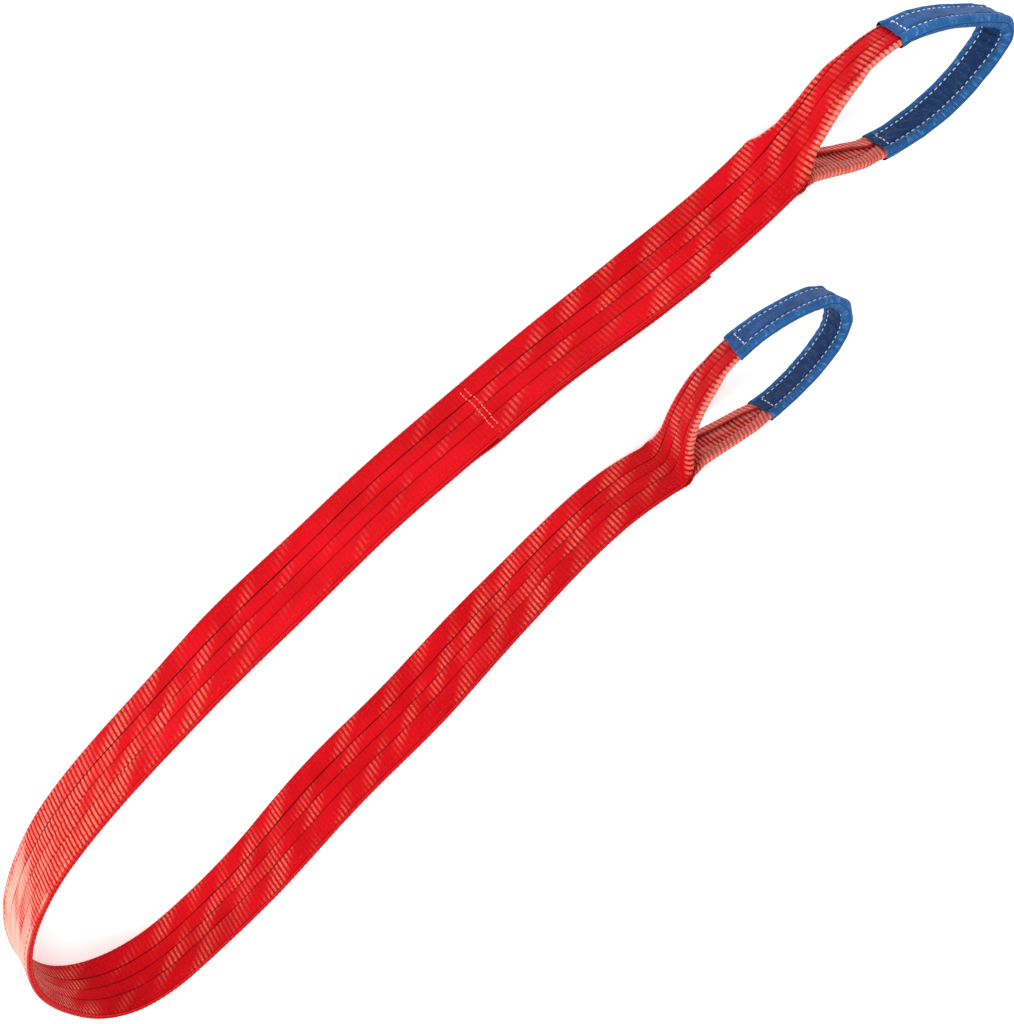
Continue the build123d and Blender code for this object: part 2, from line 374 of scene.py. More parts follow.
def web_ring():
    """One ring round the web's section: v, d and the way in, for a face, an edge, the other face, an edge."""
    half, edge = WEB_WIDTH / 2, PLY / 2
    flat = half - edge
    # the face's points: close together over the marker lines, 2 mm apart between them, then even to the edge
    lines = [line + step for line in MARKER_LINES for step in (-1.2, -0.5, 0.0, 0.5, 1.2)]
    centre = [v for v in np.arange(-20.0, 20.1, 2.0) if min(abs(v - line) for line in MARKER_LINES) > 1.5]
    outside = np.linspace(21.5, flat, 15)
    face = sorted(list(outside) + list(-outside) + lines + centre)
    turns = np.linspace(0, pi, 7)[1:-1]
    other = np.linspace(flat, -flat, 25)
    v = np.concatenate([face, flat + edge * np.sin(turns), other, -flat - edge * np.sin(turns)])
    d = np.concatenate([np.full(len(face), edge), edge * np.cos(turns), np.full(len(other), -edge),
                        -edge * np.cos(turns)])
    in_v = np.concatenate([np.zeros(len(face)), -np.sin(turns), np.zeros(len(other)), np.sin(turns)])
    in_d = np.concatenate([-np.ones(len(face)), -np.cos(turns), np.ones(len(other)), np.cos(turns)])
    is_face = np.concatenate([np.ones(len(face)), np.zeros(len(v) - len(face))])
    return v, d, in_v, in_d, is_face


RING_V, RING_D, RING_IN_V, RING_IN_D, RING_FACE = web_ring()


def relief(u, v):
    """How boldly the ribs stand out, which also sets their painted crest highlights and painted groove shade:
    from 0, pressed smooth, to 1, and up to 2 where the pale painted highlight is strongest.
    """
    u, v = np.broadcast_arrays(np.asarray(u, float), np.asarray(v, float))
    body_s, depth = np.interp(u, strip.u, strip.body_s), np.interp(u, strip.u, strip.depth)
    band = band_of(v)
    # bold and smooth patches, with their painted highlights, irregular because the phase of their waves
    # wanders
    patch = np.sin(u / 27.0 + 2.3 * band + 1.6 * np.sin(u / 71.0 + band))
    patch = patch * np.sin(u / 11.9 + v / 9.0 + 4.0 * band)
    bold = np.interp(body_s, RELIEF_AT, RELIEF)
    inner = np.interp(u, strip.u, strip.side) > 0
    bold = bold * (1 - CALM * inner * np.exp(-((body_s - CALM_AT) / CALM_REACH) ** 2))
    back = flap_lead(u) < 0
    in_eye = np.where(back, BACK_BRANCH_RELIEF, FRONT_BRANCH_RELIEF)
    bold = bold + (in_eye - bold) * ease(depth / BRANCH_EASE)
    turned = np.interp(depth, TURN_IN_AT, TURN_IN)
    past_edge = np.abs(v) - (WEB_WIDTH / 2 - FOLD * turned)
    rolled = ROLLED_RELIEF * turned * ease((past_edge + ROLL_BEFORE) / ROLL_EASE)
    # a pale painted highlight on the outside of the bend and on the eyes' back branches
    pale_highlight = PALE_BEND * np.exp(-((body_s - PALE_BEND_AT) / PALE_BEND_REACH) ** 2) * (depth == 0) * ~inner
    pale_highlight = pale_highlight * (0.8 + 0.25 * np.sin(v / 13.0 + u / 47.0))
    pale_highlight = pale_highlight + PALE_BACK * back * ease(depth / PALE_BACK_EASE)
    palest = 1.0 + np.clip(rolled - 1.0, 0.0, ROLLED_PALE) * ~back
    return np.clip(np.maximum(bold + PATCH_RELIEF * patch, rolled), 0.0, palest) + pale_highlight


def rib_groove(u):
    """1 in the groove between two ribs, 0 on a rib's crest."""
    return 1 - np.abs(np.sin(pi * u / RIB)) ** 0.8


def web_piece(name, u0, u1, material):
    """A length of the web, with its ribs, marker lines and selvedges."""
    ribs = np.arange(round(min(u0, u1) / RIB), round(max(u0, u1) / RIB))
    rows = [[(rib + part) * RIB for part in RIB_ROWS] for rib in ribs]
    u = np.concatenate(rows + [[(ribs[-1] + 1) * RIB]])
    u = np.clip(u, 0.0, strip.u[-1])[:, None]
    from_line = np.min(np.abs(RING_V[:, None] - np.array(MARKER_LINES)), axis=1)
    on_line = np.exp(-(from_line / MARKER_WIDTH) ** 4) * RING_FACE
    at_seam = np.exp(-((np.abs(RING_V) - SEAM_AT) / SEAM_WIDTH) ** 2) * RING_FACE
    in_body = 1 - ease(np.interp(u, strip.u, strip.depth) / SEAM_FADE)
    bold = relief(u, RING_V)
    shallow, deep = RIB_DEPTH
    ribs_in = (shallow + (deep - shallow) * np.minimum(bold, 1.0)) * rib_groove(u)
    depth = ribs_in * (1 - on_line) + MARKER_DEPTH * on_line + SEAM_DEPTH * at_seam * in_body
    depth = depth - swell(RING_V) * RING_FACE
    v = RING_V + RING_IN_V * depth
    d = RING_D + RING_IN_D * depth
    points = place(u, v, d)
    # the third part sets the painted crest highlights and groove shade in the webbing material
    weave = np.stack(np.broadcast_arrays(u, RING_V, bold), axis=-1)
    piece = ring_object(name, points[:, ::-1], weave[:, ::-1], material)
    return piece


# ---- materials ----
YARN = 1.5                      # across the web, from one warp yarn to the next
SLEEVE_YARN = 0.9
THREAD_TWIST = 0.8
WEB_REDS = ((0.40, 0.001, 0.004), (0.49, 0.002, 0.007))
CREST_HIGHLIGHT_RED = (0.94, 0.21, 0.145)
GROOVE_SHADE_RED = (0.20, 0.0, 0.001)
PALE_HIGHLIGHT_RED = (0.72, 0.30, 0.24)
PALE_HIGHLIGHT_CREST = (0.78, 0.37, 0.30)
SELVEDGE_GROOVE = (0.13, 0.0, 0.002)
SELVEDGE_RED = (0.52, 0.010, 0.012)
MARKER_COLOUR = (0.030, 0.0, 0.001)
SLEEVE_BLUES = ((0.007, 0.045, 0.160), (0.014, 0.080, 0.255))
SLEEVE_SHADED_PANEL = (0.004, 0.022, 0.080)
SLEEVE_MARGIN_HIGHLIGHT = (0.018, 0.110, 0.300)
SLEEVE_STREAK_HIGHLIGHT = (0.130, 0.320, 0.600)
SLEEVE_CREASE_SHADE = (0.003, 0.018, 0.075)
SLEEVE_INSIDE_SHADE = (0.003, 0.010, 0.035)


def new_material(name):
    """A material, its node tree and its shader."""
    made = bpy.data.materials.new(name)
    made.use_nodes = True
    return made, made.node_tree, made.node_tree.nodes["Principled BSDF"]


def node(tree, kind, inputs=(), **settings):
    """A node with its settings and its inputs, each a number, a colour or another node's output."""
    made = tree.nodes.new(kind)
    for key, value in settings.items():
        setattr(made, key, value)
    for key, value in dict(inputs).items():
        if isinstance(value, bpy.types.NodeSocket):
            tree.links.new(value, made.inputs[key])
        else:
            made.inputs[key].default_value = value
    return made


def calc(tree, operation, a, b=0.0, c=0.0):
    """The output of a maths node."""
    return node(tree, "ShaderNodeMath", {0: a, 1: b, 2: c}, operation=operation).outputs[0]


def blend_colours(tree, share, a, b):
    """From colour a to colour b as the share goes from 0 to 1."""
    made = node(tree, "ShaderNodeMix", {"Factor": share}, data_type="RGBA")
    for socket, value in ((made.inputs[6], a), (made.inputs[7], b)):
        if isinstance(value, bpy.types.NodeSocket):
            tree.links.new(value, socket)
        else:
            socket.default_value = (*value, 1.0)
    return made.outputs[2]


def ramp(tree, value, low, high):
    """From 0 at low to 1 at high, held beyond them."""
    return node(tree, "ShaderNodeMapRange", {"Value": value, "From Min": low, "From Max": high},
                interpolation_type="SMOOTHSTEP").outputs["Result"]


def weave_coordinates(tree):
    """How far along and across a piece, in millimetres, and the same as a vector."""
    vector = node(tree, "ShaderNodeAttribute", attribute_name="weave").outputs["Vector"]
    parts = node(tree, "ShaderNodeSeparateXYZ", {0: vector})
    return parts.outputs[0], parts.outputs[1], vector, parts.outputs[2]


def noise(tree, vector, size, detail=2.0):
    """Noise from 0 to 1 with patches of about this size in millimetres."""
    inputs = {"Vector": vector, "Scale": 1.0 / size, "Detail": detail}
    return node(tree, "ShaderNodeTexNoise", inputs).outputs[0]


def webbing_material():
    """Red web: painted highlights on the crests and painted shade in the grooves where its ribs are bold, a
    pale painted highlight past 1, lines and selvedges.
    """
    made, tree, shader = new_material("webbing")
    u, v, vector, bold = weave_coordinates(tree)
    rib = calc(tree, "ABSOLUTE", calc(tree, "SINE", calc(tree, "MULTIPLY", u, pi / RIB)))
    odd_rib = calc(tree, "MULTIPLY", calc(tree, "FLOOR", calc(tree, "DIVIDE", u, RIB)), pi)
    yarn = calc(tree, "SINE", calc(tree, "ADD", calc(tree, "MULTIPLY", v, 2 * pi / YARN), odd_rib))
    speck = noise(tree, vector, 2.2, 3.0)
    crest = calc(tree, "POWER", rib, 2.5)
    ribbed, pale = ramp(tree, bold, 0.15, 0.9), ramp(tree, bold, 0.98, 1.65)
    # painted shade in the grooves between the ribs
    groove = calc(tree, "MULTIPLY", calc(tree, "SUBTRACT", 1.0, calc(tree, "POWER", rib, 0.9)), ribbed)
    # the painted groove shade is lighter where the pale painted highlight is
    in_groove = calc(tree, "MULTIPLY_ADD", ramp(tree, bold, 1.0, 1.3), -0.6, 1.0)
    groove = calc(tree, "MULTIPLY", groove, in_groove)
    shade = ramp(tree, noise(tree, vector, 60.0), 0.3, 0.7)
    colour = blend_colours(tree, shade, *WEB_REDS)
    # the pale painted highlight, past 1
    colour = blend_colours(tree, pale, colour, PALE_HIGHLIGHT_RED)
    colour = blend_colours(tree, groove, colour, GROOVE_SHADE_RED)
    # painted highlight on the rib crests, in specks, where the ribs are bold
    share = calc(tree, "MULTIPLY", calc(tree, "MULTIPLY", crest, ramp(tree, speck, 0.2, 0.65)),
                 calc(tree, "MULTIPLY_ADD", ribbed, 0.80, 0.01))
    lit = blend_colours(tree, pale, CREST_HIGHLIGHT_RED, PALE_HIGHLIGHT_CREST)
    colour = blend_colours(tree, share, colour, lit)
    from_middle = calc(tree, "ABSOLUTE", v)
    selvedge = calc(tree, "MULTIPLY", ramp(tree, from_middle, 42.4, 43.4), 0.6)
    colour = blend_colours(tree, selvedge, colour, SELVEDGE_GROOVE)
    rim = calc(tree, "MULTIPLY", ramp(tree, from_middle, 43.7, 44.4), 0.8)
    colour = blend_colours(tree, rim, colour, SELVEDGE_RED)
    inside = calc(tree, "LESS_THAN", from_middle, MARKER_GAP * 4 / 3)
    from_line = calc(tree, "ABSOLUTE", calc(tree, "WRAP", v, MARKER_GAP / 2, -MARKER_GAP / 2))
    faint = ramp(tree, noise(tree, vector, 35.0), 0.25, 0.6)
    line = calc(tree, "MULTIPLY", calc(tree, "SUBTRACT", 1.0, ramp(tree, from_line, 0.55, 1.25)), inside)
    line = calc(tree, "MULTIPLY", line, calc(tree, "MULTIPLY_ADD", faint, 0.4, 0.5))
    lowest = ramp(tree, v, -6.0, -12.0)
    line = calc(tree, "MULTIPLY", line, calc(tree, "MULTIPLY_ADD", lowest, 0.35, 0.65))
    colour = blend_colours(tree, line, colour, MARKER_COLOUR)
    tree.links.new(colour, shader.inputs["Base Color"])
    height = calc(tree, "MULTIPLY_ADD", calc(tree, "MULTIPLY", yarn, crest), 0.5,
                  calc(tree, "MULTIPLY", speck, 0.6))
    bump = node(tree, "ShaderNodeBump", {"Height": height, "Strength": 0.55, "Distance": 0.0006})
    tree.links.new(bump.outputs[0], shader.inputs["Normal"])
    rough = calc(tree, "MULTIPLY_ADD", speck, 0.25, 0.36)
    tree.links.new(rough, shader.inputs["Roughness"])
    glint = calc(tree, "MULTIPLY_ADD", calc(tree, "MULTIPLY", ribbed, crest), 0.5, 0.02)
    tree.links.new(glint, shader.inputs["Sheen Weight"])
    shader.inputs["Specular IOR Level"].default_value = 0.03
    shader.inputs["Specular Tint"].default_value = (1.0, 0.75, 0.68, 1.0)
    shader.inputs["Sheen Roughness"].default_value = 0.18
    shader.inputs["Sheen Tint"].default_value = (1.0, 0.68, 0.58, 1.0)
    return made


def sleeve_material():
    """Blue cloth: panels with painted shade on the inner face, paler margins past the stitch rows from a
    painted highlight, streaks of painted highlight and painted crease shade, and painted shade on the inside.
    """
    made, tree, shader = new_material("sleeve")
    u, v, vector, side = weave_coordinates(tree)
    warp = calc(tree, "SINE", calc(tree, "MULTIPLY", v, 2 * pi / SLEEVE_YARN))
    weft = calc(tree, "SINE", calc(tree, "MULTIPLY", u, 2 * pi / SLEEVE_YARN))
    weave = calc(tree, "MULTIPLY", warp, weft)
    patch = noise(tree, vector, 22.0, 3.0)
    fibre = noise(tree, vector, 1.6, 3.0)
    from_middle = calc(tree, "ABSOLUTE", calc(tree, "WRAP", v, OTHER_FACE / 2, -OTHER_FACE / 2))
    margin = ramp(tree, from_middle, ROW_AT - 0.5, ROW_AT + 3.0)
    colour = blend_colours(tree, ramp(tree, patch, 0.3, 0.7), *SLEEVE_BLUES)
    # painted shade on the inner face's panel
    inner_face = calc(tree, "MULTIPLY", ramp(tree, side, 0.5, -0.5), 0.85)
    colour = blend_colours(tree, inner_face, colour, SLEEVE_SHADED_PANEL)
    # painted highlight on the margins past the stitch rows
    colour = blend_colours(tree, calc(tree, "MULTIPLY", margin, 0.6), colour, SLEEVE_MARGIN_HIGHLIGHT)
    # streaks of painted highlight, stronger on the margins
    drawn_out = node(tree, "ShaderNodeVectorMath", {0: vector, 1: (1.0, 0.35, 1.0)}, operation="MULTIPLY")
    streak = noise(tree, drawn_out.outputs[0], 2.6, 4.0)
    light = calc(tree, "MULTIPLY", ramp(tree, streak, 0.52, 0.72),
                 calc(tree, "MULTIPLY_ADD", margin, 0.30, 0.12))
    colour = blend_colours(tree, light, colour, SLEEVE_STREAK_HIGHLIGHT)
    # painted shade in the creases between the streaks
    dark = calc(tree, "MULTIPLY", ramp(tree, streak, 0.48, 0.25), 0.35)
    colour = blend_colours(tree, dark, colour, SLEEVE_CREASE_SHADE)
    # painted shade on the tube's inside and its lips
    colour = blend_colours(tree, ramp(tree, side, 1.5, 2.0), colour, SLEEVE_INSIDE_SHADE)
    tree.links.new(colour, shader.inputs["Base Color"])
    height = calc(tree, "MULTIPLY_ADD", weave, 0.4, calc(tree, "MULTIPLY", fibre, 0.8))
    bump = node(tree, "ShaderNodeBump", {"Height": height, "Strength": 0.4, "Distance": 0.0004})
    tree.links.new(bump.outputs[0], shader.inputs["Normal"])
    tree.links.new(calc(tree, "MULTIPLY_ADD", fibre, 0.2, 0.5), shader.inputs["Roughness"])
    shader.inputs["Specular IOR Level"].default_value = 0.10
    shader.inputs["Sheen Weight"].default_value = 0.12
    shader.inputs["Sheen Roughness"].default_value = 0.22
    shader.inputs["Sheen Tint"].default_value = (0.45, 0.7, 1.0, 1.0)
    return made


def thread_material(name, dark, light, gloss=0.5):
    """Twisted sewing thread: bands of two shades that wind round it."""
    made, tree, shader = new_material(name)
    u, v, vector, _ = weave_coordinates(tree)
    twist = calc(tree, "SINE", calc(tree, "MULTIPLY", calc(tree, "ADD", u, v), 2 * pi / THREAD_TWIST))
    colour = blend_colours(tree, ramp(tree, twist, -0.9, 0.6), dark, light)
    tree.links.new(colour, shader.inputs["Base Color"])
    bump = node(tree, "ShaderNodeBump", {"Height": twist, "Strength": 0.5, "Distance": 0.0002})
    tree.links.new(bump.outputs[0], shader.inputs["Normal"])
    rough = calc(tree, "MULTIPLY_ADD", noise(tree, vector, 3.0), 0.2, 0.45)
    tree.links.new(rough, shader.inputs["Roughness"])
    shader.inputs["Sheen Weight"].default_value = 0.06
    shader.inputs["Specular IOR Level"].default_value = gloss
    return made


webbing = webbing_material()
sleeve_cloth = sleeve_material()
red_thread = thread_material("web_thread", (0.34, 0.002, 0.004), (0.60, 0.015, 0.014), gloss=0.04)
pale_thread = thread_material("splice_thread", (0.50, 0.02, 0.02), (0.92, 0.24, 0.19))
white_thread = thread_material("sleeve_thread", (0.45, 0.52, 0.62), (0.88, 0.92, 0.97))


# ---- stitches ----
STITCH_PROFILE = np.array([(-0.5, 0.55, -0.9), (-0.42, 0.9, -0.1), (-0.2, 1.0, 0.25), (0.2, 1.0, 0.25),
                           (0.42, 0.9, -0.1), (0.5, 0.55, -0.9)])    # along, width, height of its middle
STITCH_AROUND = np.linspace(0, 2 * pi, 8, endpoint=False)


def stitches(spot, at, across_at, height, length, width, crosswise=False):
    """Points and thread coordinates of stitches on a surface, (stitches, rings, points in a ring, 3).

    spot(a, b, h) gives the surface's points; at and across_at are the stitches' middles along and across.
    """
    places = np.broadcast_arrays(at, across_at, height)
    at, across_at, height = (np.asarray(x, float)[:, None, None] for x in places)
    along = STITCH_PROFILE[:, 0, None] * length
    thick = STITCH_PROFILE[:, 1, None] * width / 2
    lateral = thick * np.cos(STITCH_AROUND)
    rise = STITCH_PROFILE[:, 2, None] * width + thick * 0.8 * np.sin(STITCH_AROUND)
    if crosswise:
        a, b = at + lateral, across_at + along
    else:
        a, b = at + along, across_at + lateral
    a, b, h = np.broadcast_arrays(a, b, height + rise)
    turn = np.broadcast_to(STITCH_AROUND / pi, a.shape)
    return spot(a, b, h), np.stack([a, b + turn, h], axis=-1)


def thread_piece(name, groups, material, slot_name):
    """One object of many separate stitches."""
    points = np.concatenate([p for p, _ in groups])
    weave = np.concatenate([w for _, w in groups])
    count, rings, around = points.shape[:3]
    index = np.arange(rings * around).reshape(rings, around)
    after = np.roll(index, -1, axis=1)
    quads = np.stack([index[:-1], after[:-1], after[1:], index[1:]], axis=-1).reshape(-1, 4)
    one = [list(q) for q in quads] + [list(index[0, ::-1]), list(index[-1])]
    if signed_volume(points[0].reshape(-1, 3), one) < 0:
        one = [face[::-1] for face in one]
    faces = [[i + k * rings * around for i in face] for k in range(count) for face in one]
    mesh = bpy.data.meshes.new(name)
    mesh.from_pydata((points.reshape(-1, 3) * MM).tolist(), [], faces)
    piece = as_piece(name, mesh, weave, material)
    return piece if slot_name else piece


def signed_volume(points, faces):
    """Six times a closed mesh's volume, negative where its faces look inwards."""
    total = 0.0
    for face in faces:
        for i in range(1, len(face) - 1):
            total += np.dot(points[face[0]], np.cross(points[face[i]], points[face[i + 1]]))
    return total


def body_face(layer):
    """A surface for stitches: places along the body, heights from the web's middle, and lift off a face."""
    def spot(s, v, h):
        u = strip.at_body(layer, s)
        return place(u, v, PLY / 2 + h)
    return spot


def face_layer(s):
    """The layer whose face looks into the hairpin there."""
    return "return" if s < INNER_PLY_END else "inner"


SIDE_STITCH = (8.4, 6.0, 1.15)      # pitch, length, thread
CROSS_STITCH = (5.2, 3.9, 1.15)
CROSS_STITCHES = 13
STITCH_SINK = -0.15                 # of a stitch's base below the crests
ROOT_SINK = -0.5                    # the same where the rows are drawn in tight, beside the eyes


def side_rows(s0, s1):
    """The stitches along both edges, on both faces, between two places on the body."""
    pitch, length, width = SIDE_STITCH
    groups = []
    first, last = int(np.ceil(s0 / pitch)), int(np.ceil(s1 / pitch))
    middles = np.arange(first, last) * pitch
    for v in (-SEAM_AT, SEAM_AT):
        lift = float(swell(np.array(v))) - SEAM_DEPTH + STITCH_SINK
        for layer in ("outer", "return", "inner"):
            if layer == "outer":
                here = middles
            else:
                here = np.array([s for s in middles if face_layer(s) == layer])
            if len(here):
                groups.append(stitches(body_face(layer), here, v, lift, length, width))
    return groups


def cross_rows(places):
    """Rows of stitches across the web, on both of its faces."""
    pitch, length, width = CROSS_STITCH
    heights = (np.arange(CROSS_STITCHES) - CROSS_STITCHES // 2) * pitch
    groups = []
    for s in places:
        for layer in ("outer", face_layer(s)):
            drawn_tight = not RETURN_PLY_END / 2 < s < BODY_LENGTH / 2
            lift = swell(heights) + (ROOT_SINK if drawn_tight else STITCH_SINK)
            groups.append(stitches(body_face(layer), s, heights, lift, length, width, crosswise=True))
    return groups


# ---- the web and its seams, joint by joint ----
SPANS = {}
station = 0.0
for name, runs in BODY:
    SPANS[name] = (station, station + sum(length for length, _ in runs))
    station = SPANS[name][1]
NAMES = list(SPANS)
MIDDLE = {name: sum(SPANS[name]) / 2 for name in NAMES}
BLEND_CLEAR = 3.0                # a piece's last few millimetres would stay rigid, so that it meets the next one; the pieces are not bent
EYE_BLEND = {"near_eye": (80.0, 112.0), "far_eye": (55.0, 98.0)}    # from the root into the leg, into the eye
UNDER_SLEEVE = 25.0              # how far in from a sleeve's mouth the web's pieces beside it reach


def on_body(s):
    """A place on the body's plan line, as a point in metres."""
    i = int(round(s))
    return Vector((*body_line[i] * MM, WEB_WIDTH / 2 * MM))


def in_eye(name, depth):
    """A point that deep into an eye, between its two branches."""
    line = eye_lines[name]
    middle = (line[int(depth)] + line[-1 - int(depth)]) / 2
    return Vector((*middle * MM, WEB_WIDTH / 2 * MM))


def ends_of_blend(body_a, body_b):
    """Where the bend across a joint would start and end."""
    if body_a == "near_eye":
        return in_eye("near_eye", EYE_BLEND["near_eye"][1]), on_body(EYE_BLEND["near_eye"][0])
    if body_b == "far_eye":
        return on_body(BODY_LENGTH - EYE_BLEND["far_eye"][0]), in_eye("far_eye", EYE_BLEND["far_eye"][1])
    return on_body(MIDDLE[body_a] + BLEND_CLEAR), on_body(MIDDLE[body_b] - BLEND_CLEAR)


def bend(piece, body_a, body_b):
    """The piece, with its place baked into its mesh; where the bend across the joint between two bodies would
    start and end is found, but the piece is not bent.
    """
    start, end = ends_of_blend(body_a, body_b)
    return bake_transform(piece)


chain = ["near_eye"] + NAMES + ["far_eye"]
for body_a, body_b in zip(chain, chain[1:]):
    tag = f"{body_a}_to_{body_b}"
    s0, s1 = MIDDLE.get(body_a, 0.0), MIDDLE.get(body_b, float(BODY_LENGTH))
    made = {}
    # the outer ply, which is the near eye's front branch and the far eye's back branch
    u0, u1 = strip.at_body("outer", s1), strip.at_body("outer", s0)
    if body_a == "near_eye":
        u1 = strip.at_eye("near_eye", SLEEVE_ENDS["near_eye"][0] + UNDER_SLEEVE)
    if body_b == "far_eye":
        u0 = strip.at_eye("far_eye", -SLEEVE_ENDS["far_eye"][1] - UNDER_SLEEVE)
    made["outer"] = web_piece(f"outer_ply_{tag}", u0, u1, webbing)
    # the layer on the inside of the hairpin
    if body_a == "near_eye":
        u0 = strip.at_eye("near_eye", -SLEEVE_ENDS["near_eye"][1] - UNDER_SLEEVE)
        made["return"] = web_piece(f"return_ply_{tag}", u0, strip.at_body("return", s1), webbing)
    else:
        if body_a == "near_leg_a":
            made["return"] = web_piece(f"return_ply_{tag}", strip.at_body("return", s0), strip.u[-1], webbing)
            s_first = INNER_PLY_END
        else:
            s_first = s0
        u1 = strip.at_body("inner", s1)
        if body_b == "far_eye":
            u1 = strip.at_eye("far_eye", SLEEVE_ENDS["far_eye"][0] + UNDER_SLEEVE)
        made["inner"] = web_piece(f"inner_ply_{tag}", strip.at_body("inner", s_first), u1, webbing)
    made["seams"] = thread_piece(f"side_seams_{tag}", side_rows(s0, s1), red_thread, "web_thread")
    rows = [s for s in SPLICE_ROWS if s0 <= s < s1]
    if rows:
        thread = red_thread if rows[0] < RETURN_PLY_END / 2 else pale_thread
        made["splice"] = thread_piece(f"splice_seams_{tag}", cross_rows(rows), thread, None)
    if body_a == "near_eye":
        made["root"] = thread_piece("near_root_stitching", cross_rows(ROOT_ROWS), red_thread, "web_thread")
        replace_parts(made["root"], "near_root_seams")
        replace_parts(made["outer"], "near_leg_a_outer_ply")
        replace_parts(made["return"], "near_leg_a_return_ply", "near_eye_web")
        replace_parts(made["seams"], "near_leg_a_side_seams")
        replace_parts(made["splice"], "splice_seams")
    elif body_b == "far_eye":
        far_rows = [BODY_LENGTH - s for s in ROOT_ROWS]
        made["root"] = thread_piece("far_root_stitching", cross_rows(far_rows), red_thread, "web_thread")
        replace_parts(made["root"], "far_root_seams")
        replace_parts(made["inner"], "far_eye_web")
    else:
        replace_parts(made["outer"], f"{body_b}_outer_ply")
        if body_a == "near_leg_a":
            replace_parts(made["inner"], "near_leg_a_inner_ply_end", "near_leg_b_inner_ply")
        else:
            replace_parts(made["inner"], f"{body_b}_inner_ply")
        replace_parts(made["seams"], f"{body_b}_side_seams")
    for piece in made.values():
        bend(piece, body_a, body_b)

for eye_name, (front, back) in SLEEVE_ENDS.items():
    u0 = strip.at_eye(eye_name, front + UNDER_SLEEVE)
    u1 = strip.at_eye(eye_name, -back - UNDER_SLEEVE)
    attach(web_piece(f"{eye_name}_bight_web", u0, u1, webbing), eye_name)


# ---- sleeves ----
ROW_PINCH = 1.3                 # how far a row draws the sleeve in
ROW_REACH = 2.2                 # and how far across
SLEEVE_SLACK = 1.2              # how far the cloth stands off the web, beyond the CAD's sleeve
EDGE_ROLL = 0.9                 # and how much further past the stitch rows, round the web's turned edges
EDGE_ROLL_EASE = 4.0
EDGE_ROUND = 8.0
MOUTH_SKEW = {"near_eye": (-5.0, 4.0), "far_eye": (-8.0, -4.0)}    # of its ends, for 50 mm across
SKEW_REACH = 30.0               # and the length over which they come to that
MOUTH = 12.0                    # length over which the sleeve's ends stand open
MOUTH_FLARE = 0.9
SLEEVE_STITCH = (6.8, 4.6, 1.25)
SLEEVE_SINK = -0.1
END_STITCHES = 4
SLEEVE_STEP = 1.6               # from one ring of the tube to the next
SLEEVE_SMOOTHING = 5.0
CURVE_SPAN = 25                 # the length over which its line's curve is averaged
TIGHT_CURVE = 0.03              # radians a millimetre, where the cloth wrinkles fully
LIP = 0.4                       # how far a mouth's lip stands out, as a part of SLEEVE_STEP
LONG_ROW_START = 12.0           # from a sleeve's mouth
END_ROW = 11.0


def sleeve_thickness(z):
    """From the eye's plan line to the sleeve's outside, at a height from its middle."""
    row = ROW_PINCH * np.exp(-((np.abs(z) - ROW_AT) / ROW_REACH) ** 2)
    edge = SLEEVE_WIDTH / 2 - np.abs(z)
    roll = EDGE_ROLL * ease((np.abs(z) - ROW_AT) / EDGE_ROLL_EASE)
    rounding = np.sqrt(np.clip(1 - (1 - np.clip(edge / EDGE_ROUND, 0, 1)) ** 2, 0, 1))
    return (SLEEVE_FACE + SLEEVE_SLACK + roll - row) * rounding


